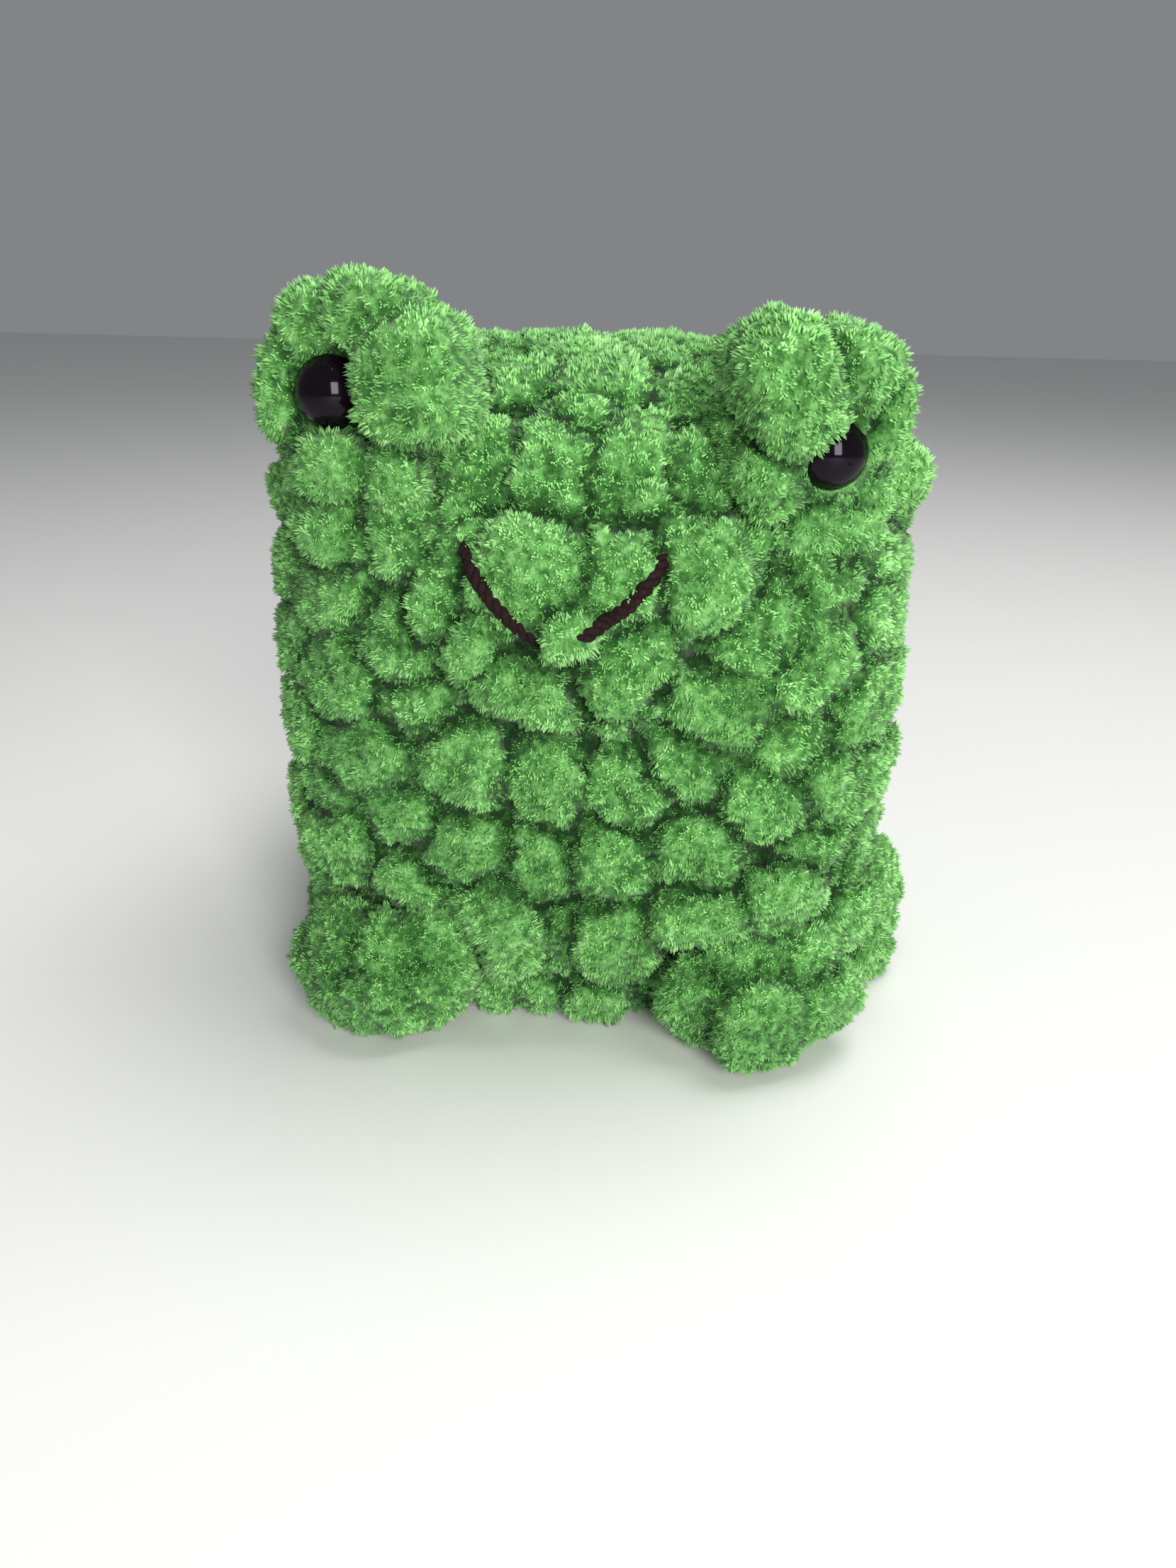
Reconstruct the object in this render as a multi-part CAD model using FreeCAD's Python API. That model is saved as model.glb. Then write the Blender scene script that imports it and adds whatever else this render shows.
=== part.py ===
"""Small plush frog, crocheted in rounds from bulky chenille yarn.

The frog faces -Y and stands on z = 0, with +X to the right of a viewer who faces it.
Its origin is on the ground under the middle of the body. Sizes are in millimetres.
"""
import FreeCAD, Part
import math
import os

Vec = FreeCAD.Vector

# Body, a soft rounded box with a raised muzzle
body_width = 77.5
body_depth = 71.0
body_height = 83.5
front_squareness = 4.4    # superellipse power of the front view's and the plan's outline
top_squareness = 3.0      # superellipse power of the side view's outline above the middle
base_squareness = 5.0     # the same below the middle, where the body sits flat
base_crush = 1.6          # how far the body's underside is pressed flat on the ground
muzzle_height = 64.0      # nose above the ground
muzzle_bulge = 6.5        # how far the muzzle stands out of the face
muzzle_spread = 17.0      # radius over which the muzzle fades into the face

# Yarn and stitches
cover_thickness = 7.0     # one layer of bulky yarn, and the gap to the stuffing
stitch_relief = 2.8       # from the groove between two stitches to their crest
groove_share = 0.24       # part of a stitch that slopes down to its groove
first_round = 5           # stitches in the first round, at the nose, and added by each round
fullest_round = 25        # stitches in each round along the body
body_rounds = 15          # rounds from the nose to the closing stitch at the back
stitch_variation = 0.25   # share by which a stitch is higher or lower than the mean
stitch_drift = 0.12       # share of its width by which a stitch sits aside
stitch_slant = 0.1        # share of its width by which a stitch leans

# Eye mounds, sewn on the front corners of the head; left is the viewer's left
mound_inset = {"left": 15.2, "right": 14.4}    # middle of a mound inside the side of the body
mound_setback = {"left": 10.5, "right": 8.5}   # middle of a mound behind the front of the body
mound_radii = {"left": 13.0, "right": 11.2}
mound_lift = {"left": 2.2, "right": 0.8}       # middle of a mound above the body's mean surface
mound_rounds = (5, 8, 9, 6)
eye_turn = {"left": 14.0, "right": 29.0}     # degrees that an eye looks outwards
eye_rise = {"left": 6.0, "right": -8.0}     # degrees that an eye looks up
seat_depth = 2.5          # flat back of a sewn piece under the body's mean surface

# Safety eyes, each a domed button on a stem held by a washer behind the fabric
eye_diameter = 8.0
eye_dome = 3.9
eye_recess = 5.6          # underside of the eye below the mound's crest
stem_diameter = 3.5
stem_length = 8.0
stem_clearance = 0.2
washer_diameter = 8.6
washer_thickness = 1.4
washer_clearance = 0.4
fabric_under_eye = 2.6    # fabric held between the eye and its washer

# Mouth, one thick sewn thread
mouth_middle = -1.9       # lowest point beside the middle of the face
mouth_base_height = 55.0  # lowest point above the ground
mouth_reach = {"left": 9.2, "right": 12.8}   # ends beside the lowest point
mouth_rise = 10.2         # ends above the lowest point
mouth_bends = {"left": 1.17, "right": 1.5}   # superellipse power of each half
thread_diameter = 2.0
thread_sides = 6
thread_spans = 9          # straight spans in each half

# Feet, crocheted pads sewn to the lower front corners and along the sides
foot_rounds = (5, 8, 8, 5)
front_foot = {"width": 28.0, "length": 20.0, "height": 20.0}
front_foot_inset = {"left": 15.6, "right": 15.0}    # middle of a front foot inside the side of the body
front_foot_lift = {"left": 0.0, "right": -1.6}      # middle of a front foot before the body's mean surface
hind_foot = {"width": 12.0, "length": 32.0, "height": 17.0}
hind_foot_setback = 33.0  # middle of a hind foot behind the front of the body
foot_relief = {"left": 1.8, "right": 2.4}
sole_crush = 2.5          # how far a foot's underside is pressed flat on the ground

# Fineness of the measured surfaces
meridian_steps = 40
meridian_turns = 48
stuffing_rounds = (8, 16, 20, 20, 20, 20, 16, 8)

half_width = body_width / 2
half_depth = body_depth / 2
half_height = (body_height + base_crush) / 2
body_middle = Vec(0, 0, body_height - half_height)
nose_lift = (muzzle_height - body_middle.z) / (half_depth + muzzle_bulge)
nose_way = Vec(0, -1, nose_lift).normalize()
muzzle_angle = math.atan2(muzzle_spread, half_depth)
ground = (Vec(0, 0, 0), Vec(0, 0, -1))


def uneven(a, b):
    """A fixed handmade unevenness from -1 to 1 for the stitch b of round a."""
    return 2 * ((math.sin(12.9898 * a + 78.233 * b + 4.1) * 43758.5453) % 1.0) - 1


def body_radius(way):
    """Distance of the body's mean surface from its middle along a unit vector."""
    squareness = top_squareness if way.z > 0 else base_squareness
    side = abs(way.y / half_depth) ** squareness + abs(way.z / half_height) ** squareness
    side = side ** (front_squareness / squareness)
    box = (abs(way.x / half_width) ** front_squareness + side) ** (-1 / front_squareness)
    return box + muzzle_bulge * math.exp(-(way.getAngle(nose_way) / muzzle_angle) ** 2)


def body_point(way, inset=0.0):
    return body_middle + way * (body_radius(way) - inset)


def bent_way(angle, turn):
    """Unit vector of a meridian that leaves the lifted nose and ends level at the back."""
    lift = nose_lift * (1 + math.cos(angle)) / 2
    across = math.sin(angle)
    return Vec(across * math.cos(turn), -math.cos(angle), across * math.sin(turn) + lift).normalize()


def evenly_spaced(points):
    """Places, counted in points, that divide a line of points into equal true lengths."""
    lengths = [0.0]
    for a, b in zip(points, points[1:]):
        lengths.append(lengths[-1] + (b - a).Length)
    places = []
    k = 0
    for i in range(len(points)):
        wanted = lengths[-1] * i / (len(points) - 1)
        while k < len(points) - 2 and lengths[k + 1] < wanted:
            k += 1
        places.append(k + (wanted - lengths[k]) / (lengths[k + 1] - lengths[k]))
    return places


def between(values, place):
    """Value at a place between two entries of a list."""
    k = min(int(place), len(values) - 2)
    return values[k] + (values[k + 1] - values[k]) * (place - k)


def meridian_angles(turn):
    """Angles that divide one meridian into equal true lengths."""
    angles = [math.pi * i / meridian_steps for i in range(meridian_steps + 1)]
    places = evenly_spaced([body_point(bent_way(angle, turn)) for angle in angles])
    return [between(angles, place) for place in places]


angle_grid = [meridian_angles(2 * math.pi * i / meridian_turns) for i in range(meridian_turns)]


def body_way(share, turn):
    """Unit vector at a share of the meridian's true length from the nose to the back."""
    column = (turn / (2 * math.pi) % 1.0) * meridian_turns
    k = int(column) % meridian_turns
    low = between(angle_grid[k], share * meridian_steps)
    high = between(angle_grid[(k + 1) % meridian_turns], share * meridian_steps)
    return bent_way(low + (high - low) * (column - int(column)), turn)


def axis_way(axis):
    """The same for a ball whose rounds run evenly about an axis."""
    side = axis.cross(Vec(0, 0, 1) if abs(axis.z) < 0.9 else Vec(0, 1, 0)).normalize()
    up = side.cross(axis)

    def way(share, turn):
        angle = math.pi * share
        return axis * math.cos(angle) + (side * math.cos(turn) + up * math.sin(turn)) * math.sin(angle)
    return way


def trimmed(middle, point, cuts):
    """Pull a point back towards the middle until it lies behind each cutting plane."""
    for place, normal in cuts:
        beyond = (point - middle).dot(normal)
        limit = (place - middle).dot(normal)
        if beyond > limit:
            point = middle + (point - middle) * (limit / beyond)
    return point


def strip(first, second):
    """Triangles between two closed rings of (share of the round, point index)."""
    if len(first) == 1:
        return [(first[0][1], a[1], b[1]) for a, b in zip(second, second[1:] + second[:1])]
    if len(second) == 1:
        return [(second[0][1], b[1], a[1]) for a, b in zip(first, first[1:] + first[:1])]
    faces = []
    start = min(range(len(second)), key=lambda k: abs(second[k][0] - first[0][0]))
    first = first + [(first[0][0] + 1, first[0][1])]
    second = second[start:] + [(share + 1, index) for share, index in second[:start + 1]]
    i = j = 0
    while i < len(first) - 1 or j < len(second) - 1:
        at_end = j == len(second) - 1
        if at_end or (i < len(first) - 1 and first[i + 1][0] <= second[j + 1][0]):
            faces.append((first[i][1], second[j][1], first[i + 1][1]))
            i += 1
        else:
            faces.append((first[i][1], second[j][1], second[j + 1][1]))
            j += 1
    return faces


def closed_solid(points, faces):
    shell = Part.Shape()
    shell.makeShapeFromMesh((points, faces), 0.0)
    solid = Part.Solid(shell.Shells[0])
    if solid.Volume < 0:
        solid.reverse()
    return solid


def ringed_solid(rings):
    """Solid from rings of (share of the round, point) that run from pole to pole."""
    points = []
    indexed = []
    for ring in rings:
        indexed.append([(share, len(points) + k) for k, (share, _) in enumerate(ring)])
        points.extend(point for _, point in ring)
    faces = [face for a, b in zip(indexed, indexed[1:]) for face in strip(a, b)]
    return closed_solid(points, faces)


def even_turns(way, radius, level):
    """Turns that divide the ring at a level between the poles into equal true lengths."""
    turns = [2 * math.pi * i / meridian_turns for i in range(meridian_turns + 1)]
    ways = [way(level, turn) for turn in turns]
    return [between(turns, place) for place in evenly_spaced([each * radius(each) for each in ways])]


def crocheted(middle, way, radius, rounds, relief, cuts):
    """Ball of pillow-shaped stitches, in rounds from one pole to the other, laid like bricks."""
    steps = (0.0, groove_share, 1 - groove_share)

    def place(level, turn, height):
        direction = way(level, turn)
        return trimmed(middle, middle + direction * (radius(direction) + height), cuts)

    rings = [[(0.0, place(0.0, 0.0, -relief / 2))]]
    for k, count in enumerate(rounds):
        for step in steps[1 if k == 0 else 0:]:
            level = (k + step) / len(rounds)
            turns = even_turns(way, radius, level)
            ring = []
            for stitch in range(count):
                size = 1 + stitch_variation * uneven(k, stitch)
                for column in steps:
                    shift = 0.5 * (k % 2) + stitch_drift * uneven(stitch, k) + stitch_slant * step
                    share = (stitch + column + shift) / count
                    turn = between(turns, (share % 1.0) * meridian_turns)
                    groove = step == 0.0 or column == 0.0
                    height = -relief / 2 if groove else relief * (size - 0.5)
                    ring.append((share, place(level, turn, height)))
            rings.append(ring)
    rings.append([(0.0, place(1.0, 0.0, -relief / 2))])
    return ringed_solid(rings)


def smooth_ball(rounds, inset):
    """The body's inside, under a cover of even thickness."""
    rings = [[(0.0, body_point(body_way(0.0, 0.0), inset))]]
    for k, count in enumerate(rounds):
        level = (k + 1) / (len(rounds) + 1)
        turns = even_turns(body_way, body_radius, level)
        shares = [i / count for i in range(count)]
        rings.append([(share, body_point(body_way(level, between(turns, share * meridian_turns)), inset))
                      for share in shares])
    rings.append([(0.0, body_point(body_way(1.0, 0.0), inset))])
    return ringed_solid(rings)


def outward_normal(point):
    """The body's surface normal at a point, from the slope of its radius."""
    step = 0.01

    def outside(p):
        ray = p - body_middle
        return ray.Length / body_radius(Vec(ray).normalize())

    slopes = [outside(point + s * step) - outside(point - s * step)
              for s in (Vec(1, 0, 0), Vec(0, 1, 0), Vec(0, 0, 1))]
    return Vec(*slopes).normalize()


def surface_along(start, way):
    """Where a ray from inside the body leaves its mean surface."""
    low, high = 0.0, body_width + body_depth + body_height
    for _ in range(50):
        reach = (low + high) / 2
        ray = start + way * reach - body_middle
        if ray.Length < body_radius(Vec(ray).normalize()):
            low = reach
        else:
            high = reach
    return start + way * low


def sewn_on(seat, lift, way, radius, rounds, relief):
    """Crocheted ball on a seat point of the body, with a flat back sunk into the cover."""
    normal = outward_normal(seat)
    middle = seat + normal * lift
    back = (seat - normal * seat_depth, normal * -1)
    return crocheted(middle, way, radius, rounds, relief, [back, ground]), middle


def turned(profile, middle, axis):
    """Solid of revolution about an axis from (radius, height) points."""
    points = [Vec(r, 0, h) for r, h in profile]
    face = Part.Face(Part.makePolygon(points + points[:1]))
    solid = face.revolve(Vec(0, 0, 0), Vec(0, 0, 1), 360)
    return placed(solid, middle, axis)


def placed(shape, middle, axis):
    shape.Placement = FreeCAD.Placement(middle, FreeCAD.Rotation(Vec(0, 0, 1), axis))
    return shape


def safety_eye(middle, axis, back):
    """Domed button and stem in one moulding; the dome's flat back is at height back."""
    radius = eye_diameter / 2
    stem = stem_diameter / 2
    ball = (radius ** 2 + eye_dome ** 2) / (2 * eye_dome)
    half_turn = math.atan2(radius, eye_dome)
    top = Vec(0, 0, back + eye_dome)
    edge = Vec(radius, 0, back)
    shoulder = Vec(ball * math.sin(half_turn), 0, top.z - ball + ball * math.cos(half_turn))
    end = back - stem_length
    corners = [top, Vec(0, 0, end), Vec(stem, 0, end), Vec(stem, 0, back), edge]
    lines = [Part.makeLine(a, b) for a, b in zip(corners, corners[1:])]
    face = Part.Face(Part.Wire(lines + [Part.Arc(edge, shoulder, top).toShape()]))
    return placed(face.revolve(Vec(0, 0, 0), Vec(0, 0, 1), 360), middle, axis)


def look_way(side):
    outwards = {"left": -1, "right": 1}[side]
    turn = math.radians(eye_turn[side])
    rise = math.radians(eye_rise[side])
    level = math.cos(rise)
    return Vec(outwards * math.sin(turn) * level, -math.cos(turn) * level, math.sin(rise))


def eye_pieces(side):
    """The solid mound of one side, and its eye, washer and the hollow that they need."""
    outwards = {"left": -1, "right": 1}[side]
    start = Vec(outwards * (half_width - mound_inset[side]), -half_depth + mound_setback[side], body_middle.z)
    axis = look_way(side)
    radius = mound_radii[side]
    ball, middle = sewn_on(surface_along(start, Vec(0, 0, 1)), mound_lift[side], axis_way(axis),
                           lambda way: radius - stitch_relief / 2, mound_rounds, stitch_relief)
    back = radius - eye_recess
    inside = back - fabric_under_eye
    low = inside - washer_thickness
    hole = stem_diameter / 2 + stem_clearance
    rim = eye_diameter / 2 + stem_clearance
    pocket = washer_diameter / 2 + washer_clearance
    beyond = 2 * radius
    mouth = rim + eye_recess / 2
    hollow = turned([(0, -beyond), (pocket, -beyond), (pocket, inside), (hole, inside),
                     (hole, back), (rim, back), (mouth, beyond), (0, beyond)], middle, axis)
    washer = turned([(stem_diameter / 2, low), (washer_diameter / 2, low),
                     (washer_diameter / 2, inside), (stem_diameter / 2, inside)], middle, axis)
    return ball, hollow, safety_eye(middle, axis, back), washer


def foot(sizes, seat, lift, relief):
    """Flat-soled pad sewn to the body at a seat point."""
    halves = (sizes["width"] / 2, sizes["length"] / 2, (sizes["height"] + sole_crush) / 2)

    def radius(way):
        return 1 / math.sqrt(sum((part / half) ** 2 for part, half in zip(way, halves))) - relief / 2

    pad, _ = sewn_on(seat, lift, axis_way(Vec(0, 0, 1)), radius, foot_rounds, relief)
    return pad


def mouth_points():
    """The thread's line along the crests of the muzzle's stitches, from end to end."""
    points = []
    for side, outwards in (("left", -1), ("right", 1)):
        power = mouth_bends[side]
        half = []
        for i in range(thread_spans + 1):
            turn = math.pi / 2 * i / thread_spans
            across = math.sin(turn) ** (2 / power) * mouth_reach[side]
            up = (1 - math.cos(turn) ** (2 / power)) * mouth_rise
            start = Vec(mouth_middle + outwards * across, 0, mouth_base_height + up)
            crest = stitch_relief / 2
            half.append(surface_along(start, Vec(0, -1, 0)) + Vec(0, -crest, 0))
        points = half[:0:-1] if side == "left" else points + half
    return points


def thread(points, radius, sides):
    """Many-sided tube through the points, closed by a point at each end."""
    rings = []
    for k, point in enumerate(points):
        before, after = points[max(k - 1, 0)], points[min(k + 1, len(points) - 1)]
        along = (after - before).normalize()
        out = outward_normal(point)
        across = along.cross(out).normalize()
        out = across.cross(along)
        shares = [i / sides for i in range(sides)]
        rings.append([(share, point + (across * math.cos(2 * math.pi * share)
                                       + out * math.sin(2 * math.pi * share)) * radius) for share in shares])
    first = points[0] + (points[0] - points[1]).normalize() * radius
    last = points[-1] + (points[-1] - points[-2]).normalize() * radius
    return ringed_solid([[(0.0, first)]] + rings + [[(0.0, last)]])


def build():
    pieces = {"mouth_thread": thread(mouth_points(), thread_diameter / 2, thread_sides),
              "body_stuffing": smooth_ball(stuffing_rounds, cover_thickness)}
    reach = 2 * (body_width + body_depth)
    earth = Part.makeBox(reach, reach, reach, Vec(-reach / 2, -reach / 2, -reach))
    bedded = list(pieces.values()) + [earth]
    for side, outwards in (("left", -1), ("right", 1)):
        ball, hollow, eye, washer = eye_pieces(side)
        across = outwards * (half_width - front_foot_inset[side])
        front_start = Vec(across, 0, (front_foot["height"] - sole_crush) / 2)
        hind_start = Vec(0, -half_depth + hind_foot_setback, (hind_foot["height"] - sole_crush) / 2)
        front_seat = surface_along(front_start, Vec(0, -1, 0))
        hind_seat = surface_along(hind_start, Vec(outwards, 0, 0))
        front = foot(front_foot, front_seat, front_foot_lift[side], foot_relief[side])
        hind = foot(hind_foot, hind_seat, 0.0, foot_relief[side])
        bedded += [ball, front, hind]
        pieces.update({"eye_mound_" + side: ball.cut(hollow), "safety_eye_" + side: eye,
                       "eye_washer_" + side: washer,
                       "front_foot_" + side: front, "hind_foot_" + side: hind})
    counts = [min(first_round * (k + 1), fullest_round, first_round * (body_rounds - k))
              for k in range(body_rounds)]
    outside = crocheted(body_middle, body_way, body_radius, counts, stitch_relief, [])
    pieces["body_cover"] = max(outside.cut(bedded).Solids, key=lambda solid: solid.Volume)
    return pieces


os.makedirs("parts", exist_ok=True)
for name, shape in build().items():
    shape.exportStep("parts/" + name + ".step")
    print(name, shape.ShapeType, len(shape.Solids), len(shape.Faces), round(shape.Volume, 1))
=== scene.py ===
"""Looks of a small plush frog, crocheted in rounds from bulky chenille yarn.

Sizes are in metres, in the frame's own axes: the frog faces -Y and stands on z = 0.
"""
import itertools
import math

import bmesh
import bpy
import numpy as np
from mathutils import Matrix, Vector
from mathutils.bvhtree import BVHTree
from mathutils.kdtree import KDTree


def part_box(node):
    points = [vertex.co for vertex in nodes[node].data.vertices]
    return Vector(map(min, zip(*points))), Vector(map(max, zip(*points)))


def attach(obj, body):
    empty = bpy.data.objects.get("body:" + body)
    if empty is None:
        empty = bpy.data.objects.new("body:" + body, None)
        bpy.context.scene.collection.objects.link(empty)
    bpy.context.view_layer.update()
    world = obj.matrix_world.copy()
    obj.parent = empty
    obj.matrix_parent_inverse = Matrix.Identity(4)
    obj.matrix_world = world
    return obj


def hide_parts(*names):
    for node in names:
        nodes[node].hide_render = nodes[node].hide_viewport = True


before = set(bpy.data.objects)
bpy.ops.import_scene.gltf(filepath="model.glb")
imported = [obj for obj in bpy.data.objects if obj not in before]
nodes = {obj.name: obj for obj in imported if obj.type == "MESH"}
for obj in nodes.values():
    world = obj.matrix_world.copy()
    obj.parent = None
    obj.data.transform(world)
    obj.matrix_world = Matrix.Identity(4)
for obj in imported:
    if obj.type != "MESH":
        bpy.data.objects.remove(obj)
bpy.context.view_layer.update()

MM = 0.001
SIDES = ("left", "right")

# Camera, fitted to the photograph's framing
camera_place = Vector((18.216, -161.484, 92.0)) * MM
camera_turn = 7.0          # degrees it stands round towards +X
camera_drop = 23.5         # degrees it looks down
camera_roll = 1.0
focal_length = 27.054      # on a sensor 36 mm high
sensor_size = 36.0

# Yarn
body_voxel = 0.72 * MM
small_voxel = 0.6 * MM
lump_overlap = 1.5         # a stitch's lump against its share of the surface
crest_share = 0.52         # part of a CAD stitch that its flat crest covers
stitch_half = (4.8 * MM, 6.9 * MM)
lump_depth = 5.0 * MM
lump_sink = 0.75 * MM      # top of a lump under the CAD crest, room for the pile
crease_depth = 0.9 * MM    # core of a piece under its smoothed surface
crack_width = 0.42 * MM    # of the cracks between stitches, cut in and darkened with painted shade
crack_depth = 1.2 * MM
crack_wave = 1.1 * MM      # they wander this far
crack_wave_size = 3.0 * MM
clump_size = 2.0 * MM      # crinkles of the pile
clump_depth = 0.34 * MM
tuft_pitch = 1.1 * MM
tuft_reach = 0.95 * MM     # length of the middle spike of a tuft
tuft_radius = 0.38 * MM
spike_width = 0.56 * MM
spikes_per_tuft = 4        # the last one stands in the middle
root_depth = 0.3 * MM      # roots of the spikes under the skin
seeds_per_mm2 = 8          # roots that are drawn before the tufts are spaced out
bare_rise = 0.04           # no tufts where the skin rises less than this
boxiness = 0.62            # power of a lump's shape, 1 for a round ball
crest_height = 0.5 * MM    # a crest stands at least this far over its neighbours in the solid
first_smooths = 5          # steps that smooth the skin on which the listed stitches are placed
core_smooths = 11          # further steps for the core
mound_crack = 0.5 * MM
foot_crack = 0.6 * MM
hem_height = 4.0           # middle of the lowest round, in mm
hem_count = 30

# Stitches given one by one
hand_swell = 1.2           # they crowd each other this much
hand_lift = 1.3 * MM       # their tops over the smoothed skin
cover_margin = 1.8 * MM    # they cover stitches of the solid this far round them
cover_depth = 6 * MM
# Stitches of the face: place in mm, half width, half height, turn in degrees
face_lumps = (
    ((-1.7, -35.8, 71.0), 4.8, 7.0, 6), ((6.1, -35.2, 70.4), 4.8, 7.0, -6),
    ((0.5, -31.0, 78.0), 4.4, 3.2, 0), ((-10.4, -34.6, 71.4), 4.9, 6.2, 8),
    ((-3.6, -40.6, 61.6), 5.8, 5.6, -24), ((0.2, -41.4, 57.0), 3.8, 3.4, 20),
    ((6.0, -39.8, 62.6), 4.2, 4.6, 12), ((15.2, -33.4, 71.4), 4.9, 5.9, -8),
    ((-14.6, -38.4, 60.0), 2.9, 5.6, -30), ((-9.2, -39.6, 54.6), 2.5, 5.4, -40),
    ((14.9, -38.4, 62.6), 4.8, 5.6, 8), ((6.0, -39.0, 52.8), 5.4, 3.6, 12),
    ((-4.6, -39.6, 49.4), 4.6, 3.8, -6), ((-18.8, -35.6, 66.0), 4.4, 5.2, 0))

random = np.random.default_rng(11)


def deselect():
    bpy.ops.object.select_all(action="DESELECT")


def new_object(name, mesh):
    piece = bpy.data.objects.new(name, mesh)
    bpy.context.scene.collection.objects.link(piece)
    return piece


def mesh_from(name, points, faces):
    """Mesh from numpy arrays of points and triangles."""
    mesh = bpy.data.meshes.new(name)
    mesh.vertices.add(len(points))
    mesh.vertices.foreach_set("co", np.asarray(points, np.float32).ravel())
    mesh.loops.add(faces.size)
    mesh.loops.foreach_set("vertex_index", faces.astype(np.int32).ravel())
    mesh.polygons.add(len(faces))
    starts = np.arange(0, faces.size, faces.shape[1], dtype=np.int32)
    mesh.polygons.foreach_set("loop_start", starts)
    mesh.update(calc_edges=True)
    return mesh


def points_of(mesh):
    points = np.empty(len(mesh.vertices) * 3, np.float32)
    mesh.vertices.foreach_get("co", points)
    return points.reshape(-1, 3).astype(float)


def normals_of(mesh):
    normals = np.empty(len(mesh.vertices) * 3, np.float32)
    mesh.vertex_normals.foreach_get("vector", normals)
    return normals.reshape(-1, 3).astype(float)


def triangles_of(mesh):
    mesh.calc_loop_triangles()
    triangles = np.empty(len(mesh.loop_triangles) * 3, np.int32)
    mesh.loop_triangles.foreach_get("vertices", triangles)
    return triangles.reshape(-1, 3)


def unit(vectors):
    return vectors / np.maximum(np.linalg.norm(vectors, axis=-1, keepdims=True), 1e-12)


def hashed(cells, seed):
    """A fixed number from 0 to 1 for each whole-number cell."""
    value = np.sin(cells @ np.array([127.1, 311.7, 74.7]) + seed) * 43758.5453
    return value - np.floor(value)


def noise(points, size, seed=0.0):
    """Smooth noise from -1 to 1 whose lumps are about the given size."""
    scaled = points / size
    base = np.floor(scaled)
    part = scaled - base
    part = part * part * (3 - 2 * part)
    total = np.zeros(len(points))
    for corner in itertools.product((0, 1), repeat=3):
        corner = np.array(corner)
        weight = np.prod(np.where(corner, part, 1 - part), axis=1)
        total += weight * hashed(base + corner, seed)
    return 2 * total - 1


def noise_vectors(points, size, seed):
    return np.stack([noise(points, size, seed + k * 17.3) for k in range(3)], axis=1)


def skin_of(node):
    """Merged copy of a CAD node's outer skin, as a bmesh."""
    skin = bmesh.new()
    skin.from_mesh(nodes[node].data)
    bmesh.ops.remove_doubles(skin, verts=skin.verts, dist=1e-6)
    skin.verts.ensure_lookup_table()
    left = set(skin.verts)
    shells = []
    while left:
        shell = {left.pop()}
        edge = list(shell)
        while edge:
            vert = edge.pop()
            for link in vert.link_edges:
                other = link.other_vert(vert)
                if other in left:
                    left.remove(other)
                    shell.add(other)
                    edge.append(other)
        shells.append(shell)
    outer = max(shells, key=len)
    bmesh.ops.delete(skin, geom=[v for v in skin.verts if v not in outer], context="VERTS")
    skin.normal_update()
    return skin


def crests(skin):
    """Groups of vertices at the top of each stitch."""
    high = set()
    for vert in skin.verts:
        around = [edge.other_vert(vert).co for edge in vert.link_edges]
        mean = sum(around, Vector()) / len(around)
        if (vert.co - mean).dot(vert.normal) > crest_height:
            high.add(vert)
    groups = []
    for start in skin.verts:
        if start not in high:
            continue
        high.remove(start)
        group = [start]
        for vert in group:
            for edge in vert.link_edges:
                other = edge.other_vert(vert)
                if other in high:
                    high.remove(other)
                    group.append(other)
        if len(group) > 1:
            groups.append(group)
    return groups


def ball_template():
    """Unit ball with a slightly boxy shape, as (points, triangles)."""
    ball = bmesh.new()
    bmesh.ops.create_icosphere(ball, subdivisions=3, radius=1.0)
    points = np.array([v.co for v in ball.verts])
    faces = np.array([[v.index for v in f.verts] for f in ball.faces])
    ball.free()
    points = np.sign(points) * np.abs(points) ** boxiness
    return points, faces


BALL = ball_template()


def lump_points(stitch):
    """Points of a soft lump, given as its centre, axes and half sizes."""
    centre, axes, halves = stitch
    return centre + (BALL[0] * halves) @ axes


def tangents(normal, pole):
    """Directions round the pole and towards it on a surface."""
    round_way = np.cross(normal, pole)
    if np.linalg.norm(round_way) < 0.05:
        round_way = np.cross(normal, (1.0, 0.0, 0.0))
    round_way = unit(round_way)
    return round_way, np.cross(normal, round_way)


def turned(first, normal, degrees):
    """Two directions on a surface, turned from the first one."""
    angle = math.radians(degrees)
    across = first * math.cos(angle) + np.cross(normal, first) * math.sin(angle)
    return across, np.cross(normal, across)


def outward(place):
    """Direction out of the boxy body at a place on its skin."""
    halves = np.array((38.8, 35.5, 42.0))
    ray = (np.array(place) - (0.0, 0.0, 42.0)) / halves
    flat = (1.0, 1.0, 0.25 if place[2] < 12 else 1.0)    # stitches at the foot face sideways
    return unit(np.sign(ray) * np.abs(ray) ** 2.2 / halves * flat)


def solid_stitches(skin, pole):
    """Middle, normal, direction round the pole and half sizes of each stitch of the solid."""
    found = []
    for group in crests(skin):
        spots = np.array([v.co for v in group])
        normal = unit(sum(np.array(v.normal) for v in group))
        round_way, up_way = tangents(normal, pole)
        wide = np.ptp(spots @ round_way) / 2 / crest_share * lump_overlap
        tall = np.ptp(spots @ up_way) / 2 / crest_share * lump_overlap
        found.append((spots.mean(0), normal, round_way,
                      np.clip(wide, *stitch_half), np.clip(tall, *stitch_half)))
    return found


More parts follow.
